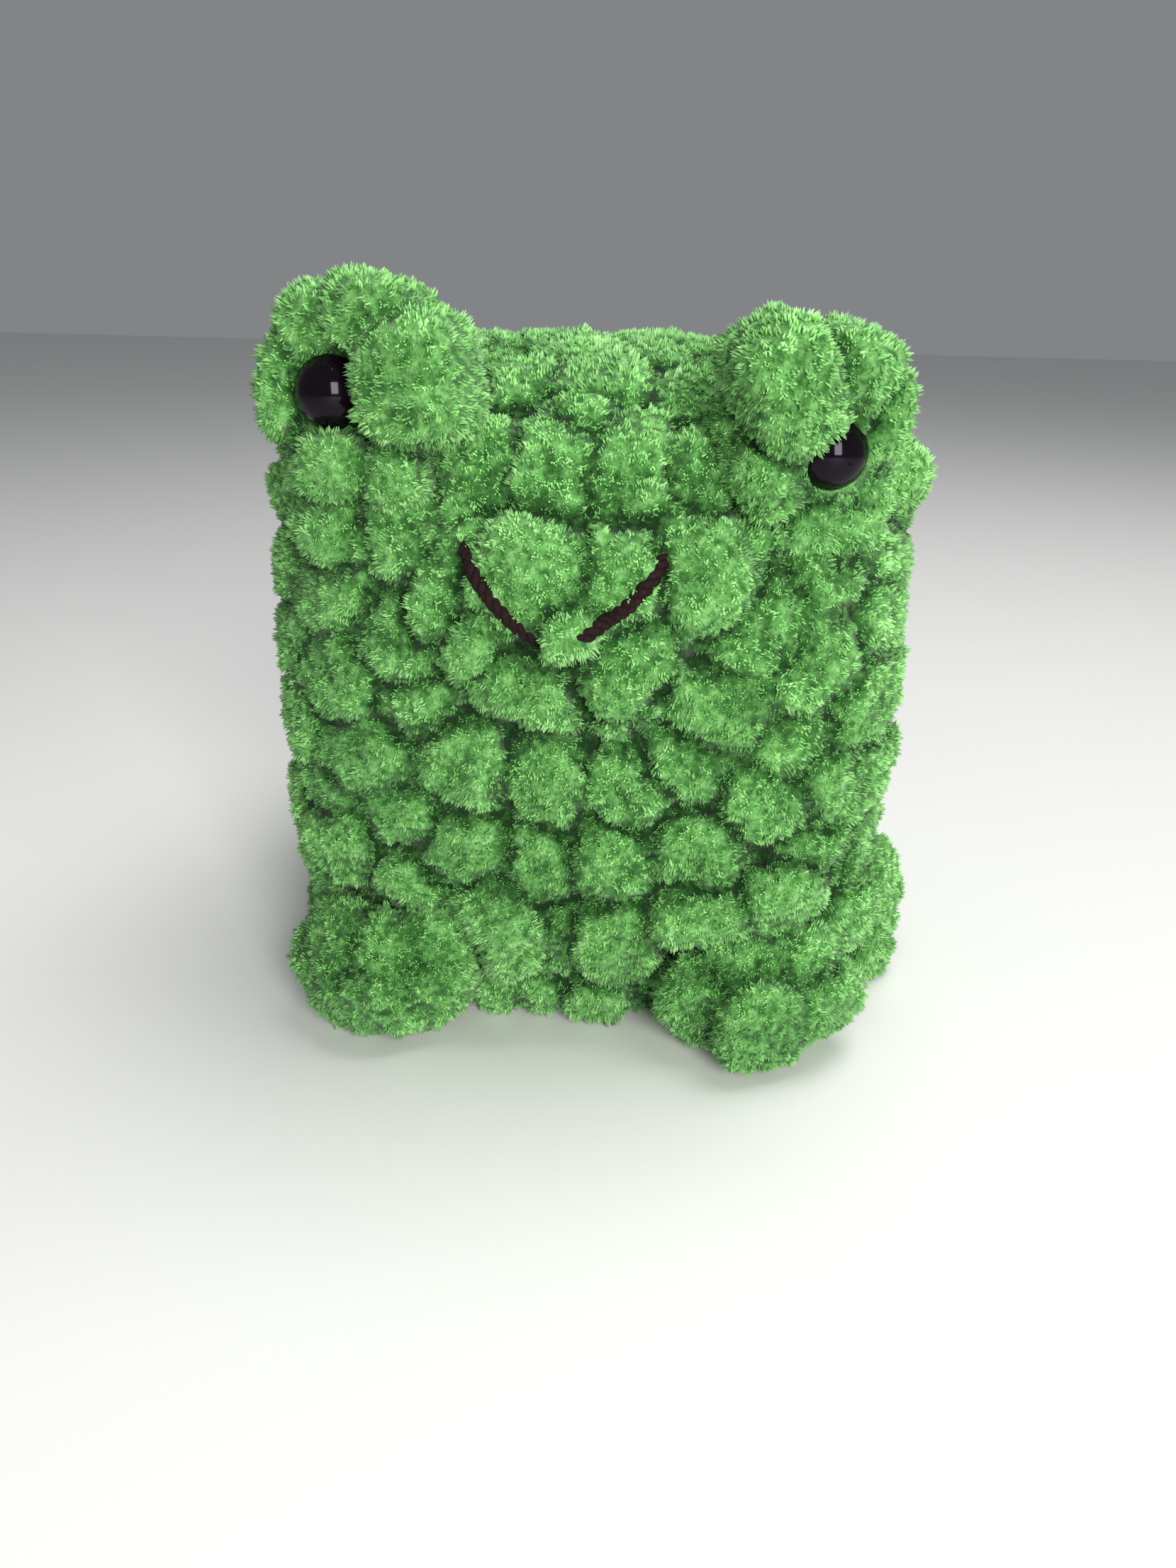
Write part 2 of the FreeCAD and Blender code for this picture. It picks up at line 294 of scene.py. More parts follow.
def hand_stitches(surface, by_hand):
    """Top, normal, directions and half sizes of each listed stitch."""
    placed = []
    for place, wide, tall, turn in by_hand:
        spot = surface.find_nearest(Vector(place) * MM)[0]
        normal = outward(place)
        level = unit(np.cross((0.0, 0.0, 1.0), normal))
        across, along = turned(level, normal, turn)
        top = np.array(spot) + normal * hand_lift
        placed.append((top, normal, across, along, wide * hand_swell * MM, tall * hand_swell * MM))
    return placed


def smooth(skin, steps):
    for _ in range(steps):
        bmesh.ops.smooth_vert(skin, verts=skin.verts, factor=0.5)


def is_covered(centre, placed):
    """True where a listed stitch takes the place of the solid's."""
    for top, facing, across, along, wide, tall in placed:
        off = centre - top
        over = ((off @ across) / (wide + cover_margin)) ** 2
        over += ((off @ along) / (tall + cover_margin)) ** 2
        if over < 1 and abs(off @ facing) < cover_depth:
            return True
    return False


def stitch_lumps(node, pole, by_hand=()):
    """Core of a piece, its stitches as lumps, and the smaller legs that some of them show."""
    skin = skin_of(node)
    found = solid_stitches(skin, pole)
    smooth(skin, first_smooths)
    surface = BVHTree.FromBMesh(skin)
    smooth(skin, core_smooths)
    skin.normal_update()
    core_points = np.array([v.co - v.normal * crease_depth for v in skin.verts])
    bmesh.ops.triangulate(skin, faces=skin.faces)
    core_faces = np.array([[v.index for v in f.verts] for f in skin.faces])
    skin.free()
    placed = hand_stitches(surface, by_hand)
    stitches, legs = [], []
    for top, normal, across, along, wide, tall in placed:
        stitches.append((top - normal * (lump_depth + lump_sink), np.array((across, along, normal)),
                         np.array((wide, tall, lump_depth))))
    for centre, normal, round_way, wide, tall in found:
        shift, tilt, size, sink, split = random.uniform(-1, 1, 5)
        if is_covered(centre, placed):
            continue
        across, along = turned(round_way, normal, 20 * tilt)
        middle = centre - normal * (lump_depth + lump_sink - 0.4 * sink * MM)
        swell = 1 + 0.06 * size
        stitches.append((middle, np.array((across, along, normal)),
                         np.array((wide * swell, tall * swell, lump_depth))))
        if split > 0.2:
            leg = math.copysign(1, shift)
            across, along = turned(round_way, normal, 35 * leg)
            place = middle + round_way * 0.5 * wide * leg + normal * 0.4 * MM
            legs.append((place, np.array((across, along, normal)),
                         np.array((wide * 0.5, tall * 0.8, lump_depth))))
    return (core_points, core_faces), stitches, legs


def joined(name, core, lumps):
    """One mesh that holds the core and every lump, still overlapping."""
    points, faces = [core[0]], [core[1]]
    count = len(core[0])
    for stitch in lumps:
        points.append(lump_points(stitch))
        faces.append(BALL[1] + count)
        count += len(BALL[0])
    return new_object(name, mesh_from(name, np.concatenate(points), np.concatenate(faces)))


def apply(piece, kind, **settings):
    deselect()
    bpy.context.view_layer.objects.active = piece
    piece.select_set(True)
    modifier = piece.modifiers.new(kind, kind)
    for key, value in settings.items():
        setattr(modifier, key, value)
    bpy.ops.object.modifier_apply(modifier=modifier.name)


def border_distance(points, stitches):
    """How far each point is from the line where its two nearest stitches meet."""
    centres = np.array([s[0] for s in stitches])
    axes = np.array([s[1] for s in stitches])
    halves = np.array([s[2] for s in stitches])
    tree = KDTree(len(stitches))
    for number, (centre, way, size) in enumerate(stitches):
        tree.insert(centre + way[2] * size[2], number)
    tree.balance()
    wavy = points + noise_vectors(points, crack_wave_size, 77.0) * crack_wave
    few = min(5, len(stitches))
    near = np.array([[hit[1] for hit in tree.find_n(spot, few)] for spot in wavy])
    local = np.einsum("nkij,nkj->nki", axes[near], wavy[:, None] - centres[near]) / halves[near]
    reach = np.linalg.norm(local, axis=2)
    order = reach.argsort(1)[:, :2]
    rows = np.arange(len(points))[:, None]
    first, second = reach[rows, order].T
    size = halves[near][rows, order][:, :, :2].mean(2)
    return (second - first) / (1 / size).sum(1)


def plush(name, core, stitches, others, voxel, crack=crack_depth):
    """Lumps melted into one soft skin, with cracks between stitches, flat on the ground, and
    painted shade along the cracks.
    """
    piece = joined(name, core, stitches + others)
    apply(piece, "REMESH", mode="VOXEL", voxel_size=voxel, use_smooth_shade=True)
    apply(piece, "SMOOTH", factor=0.5, iterations=1)
    points, normals = points_of(piece.data), normals_of(piece.data)
    patchy = np.clip(0.72 + 0.6 * noise(points, 7.0 * MM, 13.0), 0.15, 1)
    edge = np.exp(-(border_distance(points, stitches) / crack_width) ** 2) * patchy
    crinkle = noise(points, clump_size, 3.0) + 0.6 * noise(points, clump_size / 2, 9.0)
    points += normals * (crinkle * clump_depth - edge * crack)[:, None]
    points[:, 2] = np.maximum(points[:, 2], 0.0)
    piece.data.vertices.foreach_set("co", points.astype(np.float32).ravel())
    piece.data.update()
    # Rise, lowered along the cracks, sets the painted shade of creases and cracks in the materials
    # and shortens the pile there
    rise = rise_of(piece) * (1 - 0.9 * edge * crack / crack_depth)
    set_attribute(piece.data, "rise", rise)
    return piece, rise


def rise_of(piece, blur=22):
    """How far each vertex stands out of its blurred neighbourhood, from 0 in a crease to 1; the
    materials paint shade into the creases from it.
    """
    points = points_of(piece.data)
    edges = np.empty(len(piece.data.edges) * 2, np.int32)
    piece.data.edges.foreach_get("vertices", edges)
    a, b = edges.reshape(-1, 2).T
    weight = np.bincount(a, minlength=len(points)) + np.bincount(b, minlength=len(points))
    blurred = points.copy()
    for _ in range(blur):
        total = np.zeros_like(blurred)
        for k in range(3):
            total[:, k] = (np.bincount(a, blurred[b, k], len(points))
                           + np.bincount(b, blurred[a, k], len(points)))
        blurred = total / weight[:, None]
    height = ((points - blurred) * normals_of(piece.data)).sum(1)
    return np.clip(0.6 + height / (1.2 * MM), 0, 1)


def cube_map(mesh, centre):
    """UV map with one chart for each of six directions from the middle of the piece."""
    corners = np.empty(len(mesh.loops), np.int32)
    mesh.loops.foreach_get("vertex_index", corners)
    starts = np.empty(len(mesh.polygons), np.int32)
    mesh.polygons.foreach_get("loop_start", starts)
    sizes = np.empty(len(mesh.polygons), np.int32)
    mesh.polygons.foreach_get("loop_total", sizes)
    middles = np.empty(len(mesh.polygons) * 3, np.float32)
    mesh.polygons.foreach_get("center", middles)
    rays = points_of(mesh) - centre
    rays = rays / np.abs(rays).max(0)
    middles = (middles.reshape(-1, 3) - centre) / np.abs(points_of(mesh) - centre).max(0)
    axis = np.abs(middles).argmax(1)
    sign = middles[np.arange(len(axis)), axis] > 0
    face_of = np.repeat(np.arange(len(sizes)), sizes)
    ray = rays[corners]
    axis_of = axis[face_of]
    main = np.maximum(np.abs(ray[np.arange(len(ray)), axis_of]), 0.2)
    first = ray[np.arange(len(ray)), (axis_of + 1) % 3] / main
    second = ray[np.arange(len(ray)), (axis_of + 2) % 3] / main
    u = (axis_of + 0.5 + np.clip(first, -1.2, 1.2) * 0.4) / 3
    v = (sign[face_of] + 0.5 + np.clip(second, -1.2, 1.2) * 0.4) / 2
    layer = mesh.uv_layers.new(name="OFBake")
    layer.data.foreach_set("uv", np.stack([u, v], 1).astype(np.float32).ravel())


def set_attribute(mesh, name, values):
    layer = mesh.attributes.new(name, "FLOAT", "POINT")
    layer.data.foreach_set("value", np.asarray(values, np.float32))


SPIKE_FACES = np.array([[0, 1, 3], [1, 2, 3], [2, 0, 3], [0, 2, 1]])


def grow_pile(name, piece, rise, keep):
    """Chenille pile on a skin: tufts of a few closed spikes that lean together."""
    mesh = piece.data
    points, normals, faces = points_of(mesh), normals_of(mesh), triangles_of(mesh)
    faces = faces[keep(points[faces].mean(1))]
    corner = points[faces]
    cross = np.cross(corner[:, 1] - corner[:, 0], corner[:, 2] - corner[:, 0])
    area = np.linalg.norm(cross, axis=1) / 2
    seeds = int(area.sum() / MM ** 2 * seeds_per_mm2)
    chosen = faces[random.choice(len(faces), seeds, p=area / area.sum())]
    a, b = random.random((2, seeds, 1))
    a, b = np.where(a + b > 1, 1 - a, a), np.where(a + b > 1, 1 - b, b)
    roots = points[chosen[:, 0]] * (1 - a - b) + points[chosen[:, 1]] * a + points[chosen[:, 2]] * b
    _, first = np.unique(np.floor(roots / tuft_pitch).astype(int), axis=0, return_index=True)
    lift = rise[chosen].mean(1)
    first = first[lift[first] > bare_rise]
    roots, chosen, lift = roots[first], chosen[first], lift[first]
    normal = unit(normals[chosen].mean(1))
    tufts = len(roots)
    lean = noise_vectors(roots, 3.2 * MM, 5.0) * 0.6 + random.normal(0, 0.24, (tufts, 3))
    way = unit(normal + lean - normal * (lean * normal).sum(1)[:, None] * 0.7)
    side = unit(np.cross(normal, random.normal(0, 1, (tufts, 3))))
    other = np.cross(normal, side)
    reach = tuft_reach * (0.85 + 0.25 * noise(roots, 2.0 * MM, 41.0)
                          + random.uniform(-0.18, 0.18, tufts))
    reach *= 0.55 + 0.45 * lift
    tone = 0.52 + 0.2 * noise(roots, 1.7 * MM, 61.0) + 0.2 * noise(roots, 9 * MM, 71.0)
    tone += random.uniform(-0.2, 0.2, tufts)

    def around(turn):
        """Direction across each tuft at the given angle."""
        return side * np.cos(turn)[:, None] + other * np.sin(turn)[:, None]

    spikes, shades = [], []
    for number in range(spikes_per_tuft):
        central = number == spikes_per_tuft - 1
        turn = 2 * math.pi * number / 3 + random.uniform(-0.5, 0.5, tufts)
        out = 0.0 if central else tuft_radius * random.uniform(0.75, 1.25, tufts)
        offset = around(turn) * np.reshape(out, (-1, 1))
        foot = roots + offset - normal * root_depth
        length = reach * (1.0 if central else random.uniform(0.6, 0.95, tufts))
        tip = roots + offset * random.uniform(0.2, 1.1, (tufts, 1)) + way * length[:, None]
        half = spike_width / 2 * random.uniform(0.75, 1.2, tufts)
        spike = np.empty((tufts, 4, 3))
        for k in range(3):
            spike[:, k] = foot + around(2 * math.pi * k / 3 + turn) * half[:, None]
        spike[:, 3] = tip
        spikes.append(spike)
        # The middle spike is painted lighter than the others: painted light on the top of each
        # tuft, over its own tone
        shades.append(tone + random.uniform(-0.16, 0.16, tufts) + (0.12 if central else -0.04))
    spike = np.concatenate(spikes)
    # Shade is each tuft's own tone times painted shade where the skin lies low in creases and
    # cracks
    shade = np.clip(np.concatenate(shades), 0, 1) * (0.12 + 0.88 * np.tile(lift, spikes_per_tuft))
    count = len(spike)
    spike[:, :, 2] = np.maximum(spike[:, :, 2], 0.0)
    pile_faces = (SPIKE_FACES[None] + 4 * np.arange(count)[:, None, None]).reshape(-1, 3)
    pile = new_object(name, mesh_from(name, spike.reshape(-1, 3), pile_faces))
    # tip runs from 0 at a spike's root to 1 at its point; the pile's material paints shade at the
    # root and light at the tip from it
    set_attribute(pile.data, "tip", np.tile([0.0, 0.0, 0.0, 1.0], count))
    set_attribute(pile.data, "shade", np.repeat(shade, 4))
    layer = pile.data.uv_layers.new(name="OFBake")
    base_uv = np.array([[-0.012, 0.03], [0.012, 0.03], [0.004, 0.05], [0.0, 0.97]])
    uv = np.tile(base_uv[SPIKE_FACES.ravel()], (count, 1))
    uv[:, 0] += np.repeat(0.03 + 0.94 * shade, 12)
    layer.data.foreach_set("uv", uv.astype(np.float32).ravel())
    return pile


class Shade:
    """One output of a shader tree, so that plain maths on it adds the nodes."""

    def __init__(self, tree, socket=None):
        self.tree, self.socket = tree, socket

    def node(self, kind, settings=None, output=0, **inputs):
        made = self.tree.nodes.new(kind)
        settings = dict(settings or {})
        stops = settings.pop("stops", None)
        for key, value in settings.items():
            setattr(made, key, value)
        if stops:
            ramp = made.color_ramp
            while len(ramp.elements) < len(stops):
                ramp.elements.new(0.5)
            for element, (place, colour) in zip(ramp.elements, stops):
                element.position = place
                element.color = (*colour, 1.0)
        for key, value in inputs.items():
            target = made.inputs[int(key[1:]) if key[0] == "_" else key.replace("_", " ")]
            if isinstance(value, Shade):
                self.tree.links.new(value.socket, target)
            else:
                target.default_value = value
        return Shade(self.tree, made.outputs[output])

    def maths(self, operation, other, swap=False):
        first, second = (other, self) if swap else (self, other)
        return self.node("ShaderNodeMath", {"operation": operation}, _0=first, _1=second)

    def __add__(self, other):
        return self.maths("ADD", other)

    def __radd__(self, other):
        return self.maths("ADD", other)

    def __sub__(self, other):
        return self.maths("SUBTRACT", other)

    def __rsub__(self, other):
        return self.maths("SUBTRACT", other, swap=True)

    def __mul__(self, other):
        return self.maths("MULTIPLY", other)

    def __rmul__(self, other):
        return self.maths("MULTIPLY", other)


def finish(name, look):
    """Material from a function that is given the empty tree and returns the shader's inputs."""
    made = bpy.data.materials.new(name)
    made.use_nodes = True
    tree = made.node_tree
    tree.nodes.clear()
    start = Shade(tree)
    settings = look(start)
    shader = start.node("ShaderNodeBsdfPrincipled", **settings)
    out = tree.nodes.new("ShaderNodeOutputMaterial")
    tree.links.new(shader.socket, out.inputs["Surface"])
    return made


def attribute(tree, name):
    return tree.node("ShaderNodeAttribute", {"attribute_name": name}, output="Fac")


def object_point(tree):
    return tree.node("ShaderNodeTexCoord", output="Object")


def chenille_ground(tree):
    """Bed of the pile: painted light on the clumps, painted shade in the gaps between them and
    nearly black painted shade in the creases and cracks between stitches.
    """
    clump = tree.node("ShaderNodeTexNoise", Vector=object_point(tree), Scale=780.0, Detail=4.0,
                      Roughness=0.7)
    # Painted shade where the skin lies low (rise) and in the low spots of the clump bump, painted
    # light on its tops
    level = attribute(tree, "rise") * 0.55 + clump * 1.7 - 0.78
    colour = level.node("ShaderNodeValToRGB", {"stops": [
        (0.05, (0.010, 0.040, 0.009)), (0.4, (0.05, 0.17, 0.036)), (0.7, (0.15, 0.40, 0.105)),
        (1.0, (0.34, 0.68, 0.26))]}, Fac=level)
    bump = tree.node("ShaderNodeBump", Strength=0.9, Distance=0.0012, Height=clump)
    return {"Base_Color": colour, "Roughness": 0.95, "Normal": bump, "Sheen_Weight": 0.15,
            "Sheen_Roughness": 0.4, "Specular_IOR_Level": 0.1}


def chenille_pile(tree):
    """Pile fibres, with painted shade at the root and painted light at the tip."""
    tip, shade = attribute(tree, "tip"), attribute(tree, "shade")
    streak = tree.node("ShaderNodeTexNoise", Vector=object_point(tree), Scale=3800.0, Detail=2.0)
    # Painted shade at the roots and in creases, painted light at the tips, over each tuft's own
    # tone and the fibres' streaks
    level = tip * 0.55 + shade * 0.75 + streak * 0.4 - 0.42
    colour = level.node("ShaderNodeValToRGB", {"stops": [
        (0.0, (0.022, 0.084, 0.018)), (0.3, (0.105, 0.33, 0.072)), (0.65, (0.30, 0.69, 0.205)),
        (1.0, (0.58, 0.92, 0.45))]}, Fac=level)
    return {"Base_Color": colour, "Roughness": 0.8, "Sheen_Weight": 0.12, "Sheen_Roughness": 0.4,
            "Specular_IOR_Level": 0.2}


def black_plastic(tree):
    """Moulded button with a little handling haze."""
    haze = tree.node("ShaderNodeTexNoise", Vector=object_point(tree), Scale=420.0, Detail=4.0)
    return {"Base_Color": (0.004, 0.002, 0.004, 1.0), "Roughness": haze * 0.08 + 0.06,
            "Specular_IOR_Level": 0.3, "Specular_Tint": (0.86, 0.8, 1.0, 1.0), "IOR": 1.38}


def twisted_thread(tree):
    """Dark burgundy ply, with painted light along the crowns of its fibres."""
    fibre = tree.node("ShaderNodeTexNoise", Vector=object_point(tree), Scale=2600.0, Detail=4.0)
    colour = fibre.node("ShaderNodeValToRGB", {"stops": [
        (0.3, (0.006, 0.002, 0.0025)), (0.6, (0.018, 0.006, 0.007)),
        (0.85, (0.05, 0.018, 0.02))]}, Fac=fibre)
    bump = tree.node("ShaderNodeBump", Strength=0.6, Distance=0.0001, Height=fibre)
    return {"Base_Color": colour, "Roughness": 0.85, "Normal": bump, "Specular_IOR_Level": 0.2}


def white_fill(tree):
    cloud = tree.node("ShaderNodeTexNoise", Vector=object_point(tree), Scale=300.0, Detail=5.0)
    colour = cloud.node("ShaderNodeValToRGB", {"stops": [
        (0.3, (0.72, 0.72, 0.7)), (0.7, (0.9, 0.9, 0.88))]}, Fac=cloud)
    return {"Base_Color": colour, "Roughness": 0.95}


def clear_washer(tree):
    haze = tree.node("ShaderNodeTexNoise", Vector=object_point(tree), Scale=300.0, Detail=2.0)
    return {"Base_Color": (0.8, 0.8, 0.8, 1.0), "Roughness": haze * 0.2 + 0.35}


def give(piece, made):
    if piece.data.materials:
        for k in range(len(piece.data.materials)):
            piece.data.materials[k] = made
    else:
        piece.data.materials.append(made)


ground_finish = finish("chenille_ground", chenille_ground)
pile_finish = finish("chenille_pile", chenille_pile)
eye_finish = finish("black_plastic", black_plastic)
thread_finish = finish("twisted_thread", twisted_thread)
fill_finish = finish("white_fill", white_fill)
washer_finish = finish("clear_washer", clear_washer)


def centre_of(node):
    low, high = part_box(node)
    return np.array((low + high) / 2)


def eye_frame(side):
    """Front of the eye's dome and its axis, right and up directions."""
    spots = points_of(nodes["safety_eye_" + side].data)
    middle = spots.mean(0)
    values, vectors = np.linalg.eigh(np.cov((spots - middle).T))
    axis = max(vectors.T, key=lambda way: abs(way[1]))
    axis = axis * -np.sign(axis[1])
    reach = (spots - middle) @ axis
    top = spots[reach.argmax()]
    right = unit(np.cross((0.0, 0.0, 1.0), axis))
    return top, axis, right, np.cross(axis, right)


# Lumps round each eye: right, up and forward of the eye's dome, half sizes, turn in degrees
mound_lumps = {
    "left": [
        ((9.6, 1.6, -5.4), (6.6, 7.4, 6.6), 10), ((4.6, 7.6, -6.4), (6.2, 4.6, 6.2), -12),
        ((-2.6, 6.6, -6.4), (4.2, 4.3, 5.6), 30), ((-6.2, 0.2, -6.4), (2.9, 6.6, 5.4), -4),
        ((0.2, -7.6, -5.2), (4.1, 4.0, 5.2), 6), ((7.2, -8.0, -7.0), (4.0, 4.2, 5.4), 12),
        ((-4.8, -7.4, -8.6), (3.4, 4.0, 4.8), 10)],
    "right": [
        ((-6.2, 6.8, -4.8), (5.4, 7.4, 6.2), 34), ((2.0, 8.0, -6.2), (4.8, 4.6, 5.8), -16),
        ((5.9, 3.0, -6.4), (2.8, 6.0, 5.6), -8), ((5.8, -4.8, -6.8), (2.8, 5.0, 5.4), 12),
        ((0.4, -8.4, -6.8), (4.6, 3.4, 5.0), 0), ((-6.4, -3.2, -7.2), (3.6, 5.0, 5.2), 26)]}


def eye_mound(side):
    """The mound of one side, with its lumps crowded round the eye."""
    node = "eye_mound_" + side
    top, axis, right, up = eye_frame(side)
    low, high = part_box(node)
    middle, halves = centre_of(node), (np.array(high) - np.array(low)) / 2
    core = middle - axis * 1.5 * MM + BALL[0] * halves * 0.76, BALL[1]
    seat = [(middle + np.array((0.0, 4.0, -2.0)) * MM, np.eye(3), halves * (0.9, 0.78, 0.84))]
    stitches = []
    for place, sizes, turn in mound_lumps[side]:
        spot = top + (right * place[0] + up * place[1] + axis * place[2]) * MM
        across, along = turned(right, axis, turn)
        stitches.append((spot, np.array((across, along, axis)), np.array(sizes) * MM * 0.95))
    _, backs, _ = stitch_lumps(node, axis)
    stitches += [stitch for stitch in backs if (stitch[0] - middle) @ axis < 1.0 * MM]
    return plush("plush_" + node, core, stitches, seat, small_voxel, mound_crack)


def eye_clear(side):
    """True for spots that stand clear of the eye's dome."""
    top, axis, _, _ = eye_frame(side)
    middle = top - axis * 4.2 * MM

    def test(spots):
        ray = spots - middle
        along = ray @ axis
        off = np.linalg.norm(ray - along[:, None] * axis, axis=1)
        return ~((off < 3.7 * MM) & (along > -2 * MM))
    return test


def hem_lumps(node, height, count):
    """Stitches of the lowest round, all round a piece just over the ground."""
    skin = skin_of(node)
    tree = BVHTree.FromBMesh(skin)
    skin.free()
    middle = Vector(centre_of(node))
    placed = []
    for k in range(count):
        turn = 2 * math.pi * (k + random.uniform(-0.2, 0.2)) / count
        way = Vector((math.cos(turn), math.sin(turn), 0))
        spot = tree.ray_cast(Vector((middle.x, middle.y, height * MM)) + way * 0.1, -way)[0]
        wide, tall = 4.6 * random.uniform(0.85, 1.1), 3.6 * random.uniform(0.9, 1.1)
        placed.append((tuple(spot / MM), wide, tall, 8 * random.uniform(-1, 1)))
    return placed


def plush_from_node(node, pole, voxel, by_hand=(), crack=crack_depth):
    core, stitches, legs = stitch_lumps(node, np.array(pole), by_hand)
    return plush("plush_" + node, core, stitches, legs, voxel, crack)


plush_pieces = {"body_cover": plush_from_node(
    "body_cover", (0.0, -1.0, 0.5), body_voxel,
    face_lumps + tuple(hem_lumps("body_cover", hem_height, hem_count)))}
for side in SIDES:
    plush_pieces["eye_mound_" + side] = eye_mound(side)
    for row in ("front_foot_", "hind_foot_"):
        plush_pieces[row + side] = plush_from_node(
            row + side, (0.0, 0.0, 1.0), small_voxel, (), foot_crack)
for node, (piece, _) in plush_pieces.items():
    cube_map(piece.data, centre_of(node))
    give(piece, ground_finish)
    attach(piece, "root")
    if node == "body_cover":
        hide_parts("body_cover", "body_stuffing")
    else:
        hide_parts(node)

# Mouth
mouth_lowest = -1.9 * MM
mouth_powers = {-1: 1.17, 1: 1.5}
strand_radius = 0.5 * MM
strand_offset = 0.46 * MM
strand_turn = 3.6 * MM     # length of one twist
thread_sink = 0.35 * MM
thread_dip = 2.2 * MM      # the middle of the smile is drawn into the pile
thread_gap = 0.75 * MM     # pile is parted this far from the thread


def mouth_line(steps=70):
    """Line of the smile over the plush skin, from end to end."""
    low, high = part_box("mouth_thread")
    skin = plush_pieces["body_cover"][0].data
    tree = BVHTree.FromPolygons([v.co for v in skin.vertices],
                                [p.vertices[:] for p in skin.polygons])
    margin = MM
    reach = {-1: mouth_lowest - (low.x + margin), 1: (high.x - margin) - mouth_lowest}
    spots = []
    for k in range(-steps, steps + 1):
        way = -1 if k < 0 else 1
        turn = math.pi / 2 * abs(k) / steps
        across = math.sin(turn) ** (2 / mouth_powers[way])
        up = 1 - math.cos(turn) ** (2 / mouth_powers[way])
        x = mouth_lowest + way * across * reach[way]
        z = low.z + margin + up * (high.z - low.z - 2 * margin)
        hit = tree.ray_cast(Vector((x, low.y - 0.03, z)), Vector((0, 1, 0)))[0]
        spots.append((x, hit.y, z))
    spots = np.array(spots)
    steps_along = np.linalg.norm(np.diff(spots, axis=0), axis=1)
    along = np.concatenate([[0], np.cumsum(steps_along)])
    even = np.linspace(0, along[-1], 161)
    line = np.stack([np.interp(even, along, spots[:, k]) for k in range(3)], 1)
    kernel = np.ones(9) / 9
    for k in range(3):
        padded = np.pad(line[:, k], 4, mode="reflect", reflect_type="odd")
        line[:, k] = np.convolve(padded, kernel, mode="valid")
    return line


def tube_rings(line, radius, sides):
    """Points and faces of a closed tube along a line."""
    tangent = unit(np.gradient(line, axis=0))
    side = unit(np.cross(tangent, (0.0, -1.0, 0.1)))
    other = np.cross(tangent, side)
    points = []
    for k in range(sides):
        angle = 2 * math.pi * k / sides
        points.append(line + (side * math.cos(angle) + other * math.sin(angle)) * radius[:, None])
    points = np.stack(points, 1).reshape(-1, 3)
    faces = []
    for i in range(len(line) - 1):
        for k in range(sides):
            n = (k + 1) % sides
            faces.append((i * sides + k, i * sides + n, (i + 1) * sides + n, (i + 1) * sides + k))
    return points, faces


def mouth_thread(line):
    """Thread of three twisted strands along the line of the smile."""
    tangent = unit(np.gradient(line, axis=0))
    side = unit(np.cross(tangent, (0.0, -1.0, 0.1)))
    other = np.cross(tangent, side)
    length = np.concatenate([[0], np.cumsum(np.linalg.norm(np.diff(line, axis=0), axis=1))])
    taper = np.clip(np.minimum(length, length[-1] - length) / (1.2 * MM), 0.05, 1) ** 0.5
    dip = np.exp(-((length / length[-1] - 0.5) / 0.07) ** 2)
    mesh = bmesh.new()
    uv = mesh.loops.layers.uv.new("OFBake")
    sides = 8
    for strand in range(3):
        angle = 2 * math.pi * (length / strand_turn + strand / 3)
        out = side * np.cos(angle)[:, None] + other * np.sin(angle)[:, None]
        middle = line + out * strand_offset
        middle[:, 1] += thread_sink + thread_dip * dip
        points, faces = tube_rings(middle, strand_radius * taper, sides)
        verts = [mesh.verts.new(p) for p in points]
        for number, face in enumerate(faces):
            made = mesh.faces.new([verts[i] for i in face])
            made.smooth = True
            row, column = divmod(number, sides)
            for loop, (du, dv) in zip(made.loops, ((0, 0), (1, 0), (1, 1), (0, 1))):
                loop[uv].uv = ((strand + (column + du) / sides * 0.9 + 0.05) / 3,
                               (row + dv) / (len(line) - 1))
        for ring in (verts[:sides], verts[-sides:]):
            cap = mesh.faces.new(ring)
            for k, loop in enumerate(cap.loops):
                loop[uv].uv = (strand / 3 + 0.01 + 0.01 * math.cos(k), 0.5 + 0.01 * math.sin(k))
    bmesh.ops.recalc_face_normals(mesh, faces=mesh.faces)
    data = bpy.data.meshes.new("smile_thread")
    mesh.to_mesh(data)
    mesh.free()
    piece = new_object("smile_thread", data)
    give(piece, thread_finish)
    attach(piece, "root")
    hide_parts("mouth_thread")


smile = mouth_line()
mouth_thread(smile)


def clear_of_smile(spots):
    """True for spots away from the thread of the smile."""
    low, high = smile.min(0) - 2 * MM, smile.max(0) + 2 * MM
    near = ((spots > low) & (spots < high)).all(1)
    clear = np.ones(len(spots), bool)
    gaps = np.linalg.norm(spots[near][:, None] - smile[None, ::2], axis=2).min(1)
    clear[near] = gaps > thread_gap
    return clear


def off_ground(spots):
    return spots[:, 2] > 0.6 * MM


def pile_on(name, node, keep):
    """Pile on the part of a piece where keep is true."""
    piece, rise = plush_pieces[node]
    pile = grow_pile("pile_" + name, piece, rise, lambda spots: keep(spots) & off_ground(spots))
    give(pile, pile_finish)
    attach(pile, "root")


for side, way in (("left", -1), ("right", 1)):
    pile_on("body_%s_front" % side, "body_cover",
            lambda spots: (spots[:, 0] * way >= 0) & (spots[:, 1] < 0) & clear_of_smile(spots))
    pile_on("body_%s_back" % side, "body_cover",
            lambda spots: (spots[:, 0] * way >= 0) & (spots[:, 1] >= 0))
    pile_on("eye_mound_" + side, "eye_mound_" + side, eye_clear(side))
    for row in ("front_foot_", "hind_foot_"):
        pile_on(row + side, row + side, lambda spots: spots[:, 2] > 0)

for side in SIDES:
    give(nodes["safety_eye_" + side], eye_finish)
    give(nodes["eye_washer_" + side], washer_finish)
give(nodes["body_stuffing"], fill_finish)


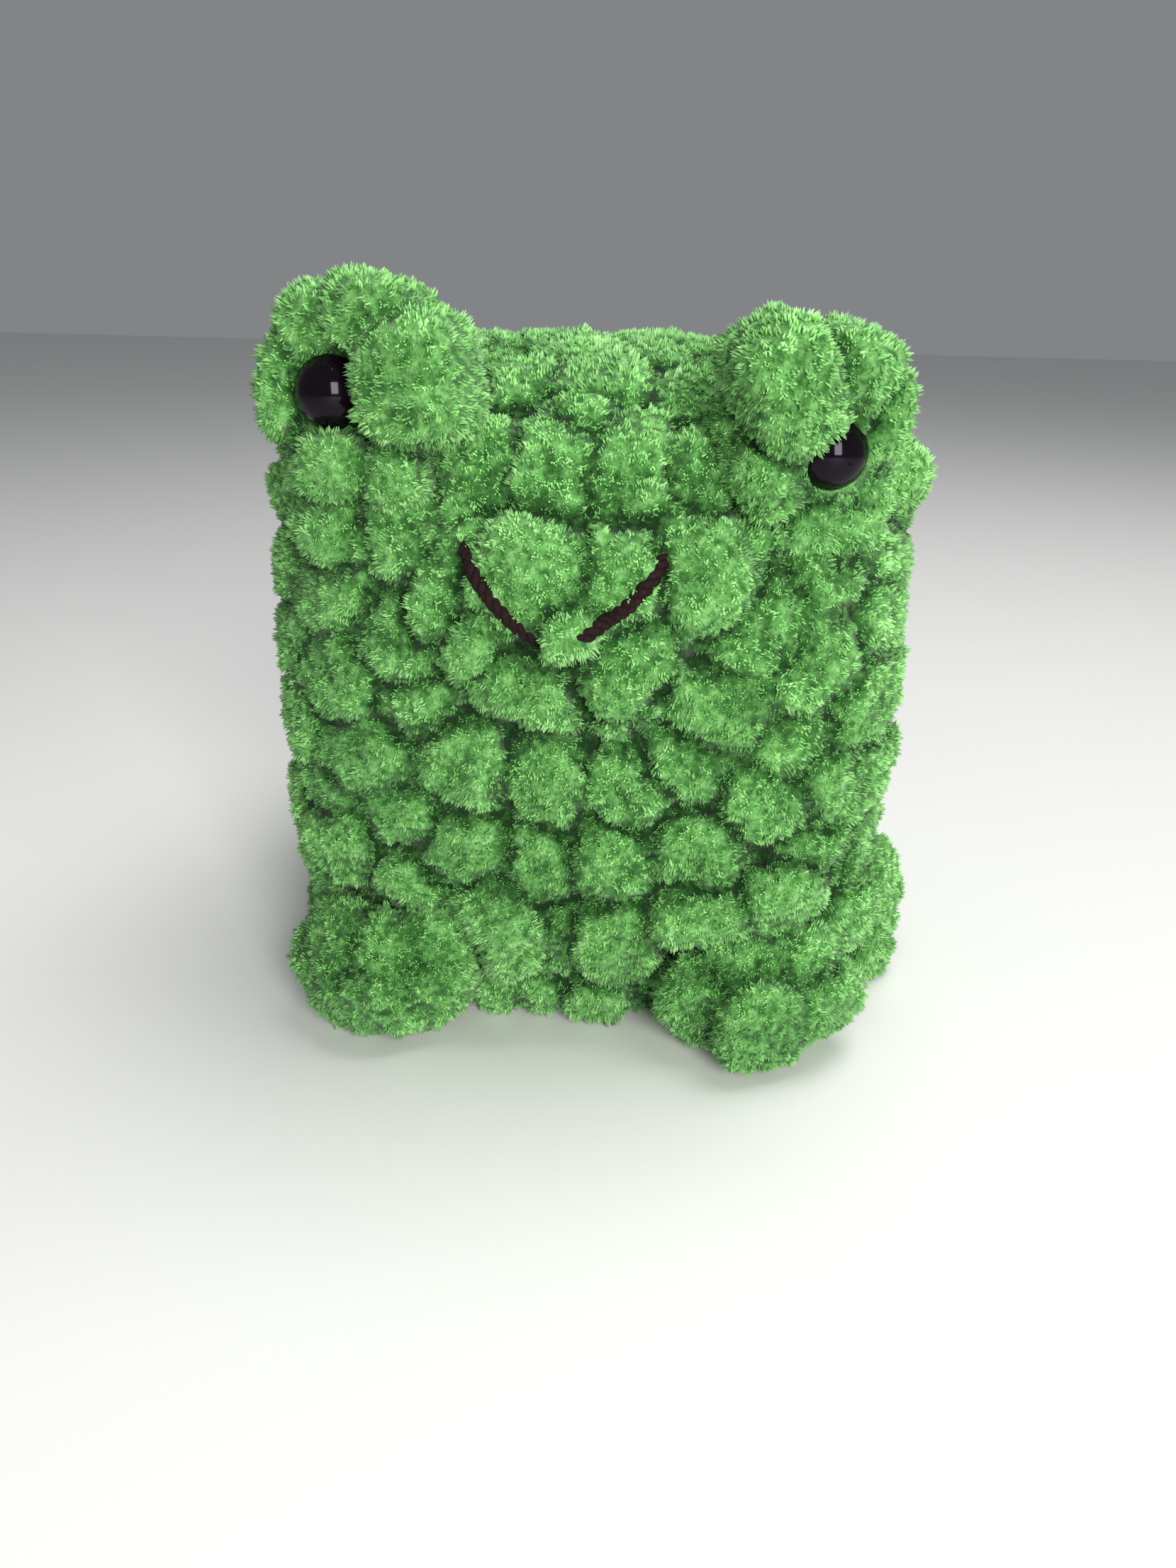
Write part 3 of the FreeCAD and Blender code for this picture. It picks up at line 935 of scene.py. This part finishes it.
def camera():
    """Camera at the photograph's place."""
    turn, drop, roll = (math.radians(v) for v in (camera_turn, camera_drop, camera_roll))
    ahead = Vector((-math.sin(turn) * math.cos(drop), math.cos(turn) * math.cos(drop),
                    -math.sin(drop)))
    level = Vector((math.cos(turn), math.sin(turn), 0))
    upright = level.cross(ahead)
    right = level * math.cos(roll) + upright * math.sin(roll)
    up = upright * math.cos(roll) - level * math.sin(roll)
    data = bpy.data.cameras.new("camera")
    data.sensor_width = sensor_size
    data.lens = focal_length
    data.clip_start = 0.005
    made = new_object("camera", data)
    made.matrix_world = Matrix((right, up, -ahead)).transposed().to_4x4()
    made.location = camera_place
    bpy.context.scene.camera = made


def area_light(name, place, aim, size, power, colour=(1, 1, 1)):
    """Rectangular lamp that faces the aim."""
    data = bpy.data.lights.new(name, "AREA")
    data.shape = "RECTANGLE"
    data.size, data.size_y = size
    data.energy = power
    data.color = colour
    made = new_object(name, data)
    made.location = place
    made.rotation_euler = (Vector(aim) - Vector(place)).to_track_quat("-Z", "Y").to_euler()


def stage():
    """Pale floor."""
    deselect()
    bpy.ops.mesh.primitive_plane_add(size=3.0, location=(0, 0, 0))
    floor = bpy.context.object
    floor.name = "floor"

    def pale(tree):
        grain = tree.node("ShaderNodeTexNoise", Vector=object_point(tree), Scale=40.0, Detail=2.0)
        return {"Base_Color": (0.80, 0.80, 0.78, 1.0), "Roughness": grain * 0.1 + 0.6}

    give(floor, finish("pale_floor", pale))


camera()
stage()
world = bpy.data.worlds.new("room")
bpy.context.scene.world = world
world.use_nodes = True
room = world.node_tree.nodes["Background"]
room.inputs["Color"].default_value = (0.93, 0.96, 1.0, 1.0)
room.inputs["Strength"].default_value = 0.24
area_light("window", (0.19, -0.46, 0.22), (0, 0, 0.05), (0.18, 0.30), 2.8, (1.0, 0.98, 0.96))
area_light("ceiling", (0.14, 0.05, 0.52), (0, 0, 0.05), (0.36, 0.36), 2.1)
bpy.context.scene.view_settings.view_transform = "Standard"
